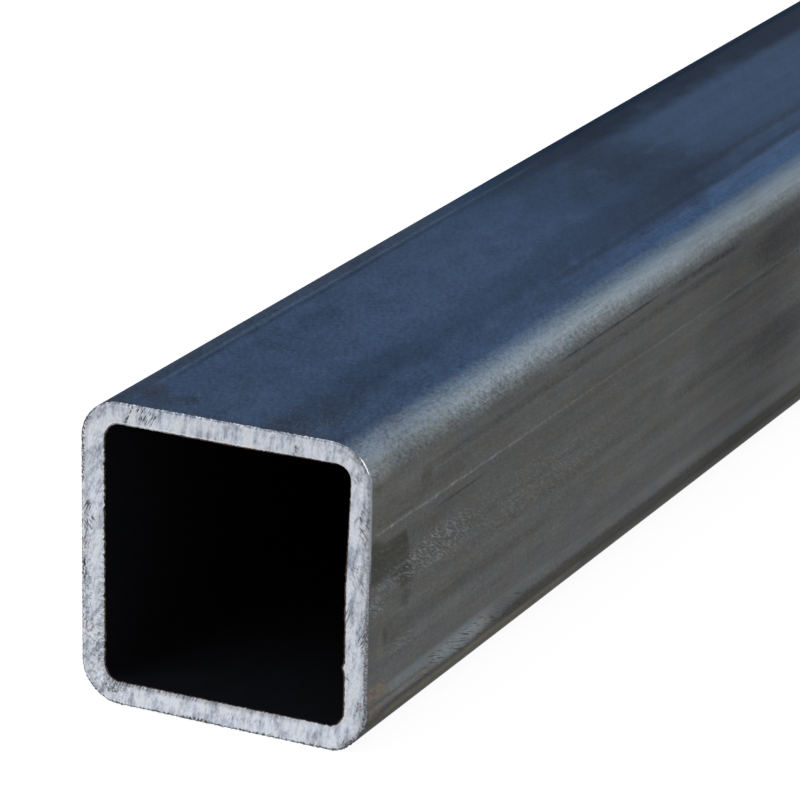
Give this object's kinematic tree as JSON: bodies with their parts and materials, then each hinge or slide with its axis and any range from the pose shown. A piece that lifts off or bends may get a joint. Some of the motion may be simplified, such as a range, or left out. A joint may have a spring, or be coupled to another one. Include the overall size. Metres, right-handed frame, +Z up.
{
  "type": "square metal tube",
  "caption": "Length of square steel hollow section with rounded corners, sawn square and open at both ends, for frames, posts and brackets.",
  "frame": {"origin": "middle of the underside, halfway along the tube, on the level that it lies on", "axes": "+Y along the tube, away from the sawn end that the picture shows; +X towards its right side seen from that end; +Z up"},
  "size_m": [0.04, 1, 0.04],
  "materials": {
    "mill_steel": "bare cold-formed steel: thin blue-grey mill oxide on the flats, rubbed grey on the bends, bright sawn metal on the cut ends"
  },
  "bodies": {
    "root": {"square_tube": "mill_steel"}
  },
  "joints": []
}
